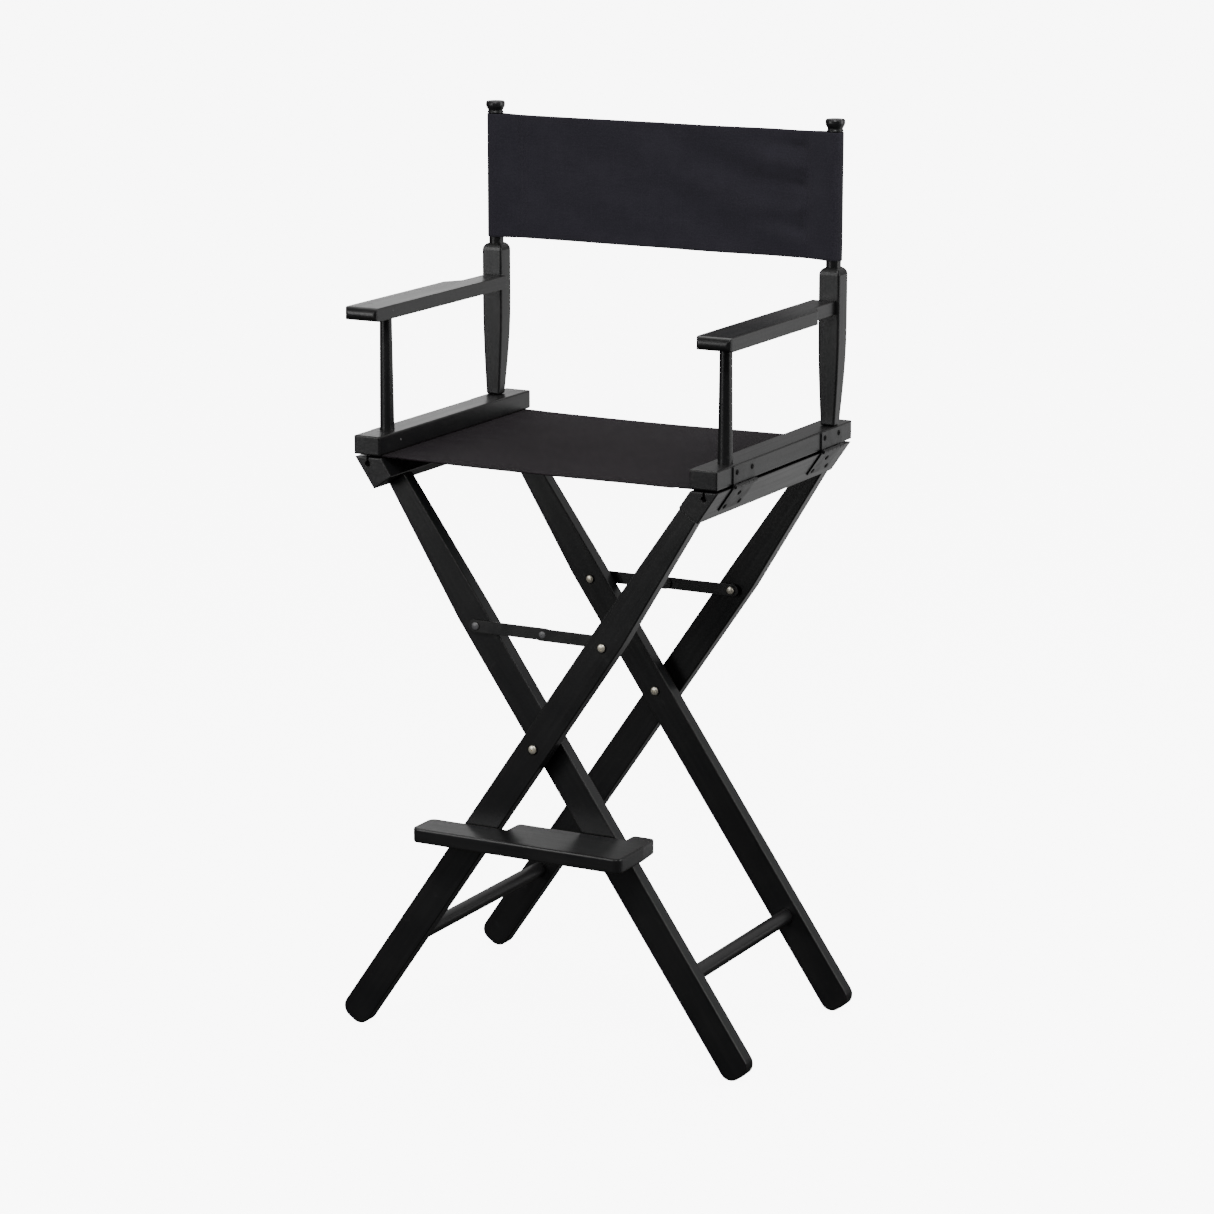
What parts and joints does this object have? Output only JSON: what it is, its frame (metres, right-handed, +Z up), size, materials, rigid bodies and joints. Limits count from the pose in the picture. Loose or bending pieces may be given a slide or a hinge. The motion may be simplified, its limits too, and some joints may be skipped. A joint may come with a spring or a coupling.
{
  "type": "tall folding director's chair",
  "caption": "Tall folding director's chair: crossed wooden legs, hinged side frames with flat arms, canvas seat and back, and a footrest board.",
  "frame": {"origin": "on the floor, under the middle of the chair's bounding box, chair open", "axes": "+Z up, the sitter faces -Y, +X is to the right when the chair is seen from the front"},
  "size_m": [0.562, 0.4366, 1.156],
  "materials": {
    "black_paint": "satin black paint over wood, eased edges",
    "seat_canvas": "plain-weave cotton canvas, near-black",
    "back_canvas": "plain-weave cotton canvas, near-black",
    "hem_rod": "bare hardwood dowel",
    "black_steel": "black-coated steel",
    "nickel_fasteners": "nickel-plated steel"
  },
  "bodies": {
    "outer_frame": {"footrest": "black_paint", "front_pivot_bolt": "nickel_fasteners", "front_pivot_nut": "nickel_fasteners", "front_pivot_spacer": "black_steel", "front_stay_outer_bolt": "nickel_fasteners", "outer_front_leg": "black_paint", "outer_lower_rail": "black_paint", "outer_rear_leg": "black_paint", "outer_stretcher": "black_paint", "rear_pivot_bolt": "nickel_fasteners", "rear_pivot_nut": "nickel_fasteners", "rear_pivot_spacer": "black_steel", "rear_stay_outer_rivet": "nickel_fasteners", "right_front_hinge_lower_leaf": "black_steel", "right_rear_hinge_lower_leaf": "black_steel", "right_seat_hem": "seat_canvas", "right_seat_rod": "hem_rod"},
    "inner_frame": {"front_stay_inner_rivet": "black_steel", "inner_front_leg": "black_paint", "inner_lower_rail": "black_paint", "inner_rear_leg": "black_paint", "inner_stretcher": "black_paint", "left_front_hinge_lower_leaf": "black_steel", "left_rear_hinge_lower_leaf": "black_steel", "left_seat_hem": "seat_canvas", "left_seat_rod": "hem_rod", "rear_stay_inner_bolt": "nickel_fasteners"},
    "left_side": {"left_armrest": "black_paint", "left_back_dowel": "black_paint", "left_back_post": "black_paint", "left_finial": "black_paint", "left_front_hinge_pin": "black_steel", "left_front_hinge_upper_leaf": "black_steel", "left_front_post": "black_paint", "left_rear_hinge_pin": "black_steel", "left_rear_hinge_upper_leaf": "black_steel", "left_seat_rail": "black_paint"},
    "right_side": {"right_armrest": "black_paint", "right_back_dowel": "black_paint", "right_back_post": "black_paint", "right_finial": "black_paint", "right_front_hinge_pin": "black_steel", "right_front_hinge_upper_leaf": "black_steel", "right_front_post": "black_paint", "right_rear_hinge_pin": "black_steel", "right_rear_hinge_upper_leaf": "black_steel", "right_seat_rail": "black_paint"},
    "seat_left": {"seat_canvas_left": "seat_canvas"},
    "seat_right": {"seat_canvas_right": "seat_canvas"},
    "back_left": {"back_canvas_left": "back_canvas"},
    "back_right": {"back_canvas_right": "back_canvas"},
    "front_stay_inner": {"front_stay_inner_link": "black_steel"},
    "front_stay_outer": {"front_stay_outer_link": "black_steel"},
    "rear_stay_inner": {"rear_stay_inner_link": "black_steel"},
    "rear_stay_outer": {"rear_stay_outer_link": "black_steel"}
  },
  "joints": [
    {"name": "fold", "type": "hinge", "parent": "outer_frame", "child": "inner_frame", "pos_m": [0, 0.02165, 0.399], "axis": [0, 1, 0], "range_deg": [0, 58], "deforming": ["seat_canvas_left", "seat_canvas_right", "back_canvas_left", "back_canvas_right"]},
    {"name": "left_side_hinge", "type": "hinge", "parent": "inner_frame", "child": "left_side", "pos_m": [-0.2552, 0.02165, 0.7465], "axis": [0, 1, 0], "range_deg": [-29, 0]},
    {"name": "right_side_hinge", "type": "hinge", "parent": "outer_frame", "child": "right_side", "pos_m": [0.2552, 0.02165, 0.7465], "axis": [0, 1, 0], "range_deg": [0, 29]},
    {"name": "seat_left_fold", "type": "hinge", "parent": "inner_frame", "child": "seat_left", "pos_m": [-0.214, 0.02165, 0.7465], "axis": [0, 1, 0], "range_deg": [0, 56.1]},
    {"name": "seat_right_fold", "type": "hinge", "parent": "outer_frame", "child": "seat_right", "pos_m": [0.214, 0.02165, 0.7465], "axis": [0, 1, 0], "range_deg": [-56.1, 0]},
    {"name": "back_left_fold", "type": "hinge", "parent": "left_side", "child": "back_left", "pos_m": [-0.242, 0.17265, 1.06], "axis": [0, 0, 1], "range_deg": [0, 80.2]},
    {"name": "back_right_fold", "type": "hinge", "parent": "right_side", "child": "back_right", "pos_m": [0.242, 0.17265, 1.06], "axis": [0, 0, 1], "range_deg": [-80.2, 0]},
    {"name": "front_stay_inner_pin", "type": "hinge", "parent": "inner_frame", "child": "front_stay_inner", "pos_m": [-0.09629, 0.02165, 0.5391], "axis": [0, 1, 0], "range_deg": [0, 51.4]},
    {"name": "front_stay_outer_pin", "type": "hinge", "parent": "outer_frame", "child": "front_stay_outer", "pos_m": [0.09629, 0.02165, 0.5391], "axis": [0, 1, 0], "range_deg": [-51.4, 0]},
    {"name": "rear_stay_inner_pin", "type": "hinge", "parent": "inner_frame", "child": "rear_stay_inner", "pos_m": [-0.09629, 0.02165, 0.5391], "axis": [0, 1, 0], "range_deg": [0, 51.4]},
    {"name": "rear_stay_outer_pin", "type": "hinge", "parent": "outer_frame", "child": "rear_stay_outer", "pos_m": [0.09629, 0.02165, 0.5391], "axis": [0, 1, 0], "range_deg": [-51.4, 0]}
  ],
  "couplings": [
    {"joint": "left_side_hinge", "follows": "fold", "ratio": -0.5},
    {"joint": "right_side_hinge", "follows": "fold", "ratio": 0.5},
    {"joint": "seat_left_fold", "follows": "fold", "ratio": 0.965},
    {"joint": "seat_right_fold", "follows": "fold", "ratio": -0.965},
    {"joint": "back_left_fold", "follows": "fold", "ratio": 1.38},
    {"joint": "back_right_fold", "follows": "fold", "ratio": -1.38},
    {"joint": "front_stay_inner_pin", "follows": "fold", "ratio": 0.883},
    {"joint": "front_stay_outer_pin", "follows": "fold", "ratio": -0.883},
    {"joint": "rear_stay_inner_pin", "follows": "fold", "ratio": 0.883},
    {"joint": "rear_stay_outer_pin", "follows": "fold", "ratio": -0.883}
  ]
}
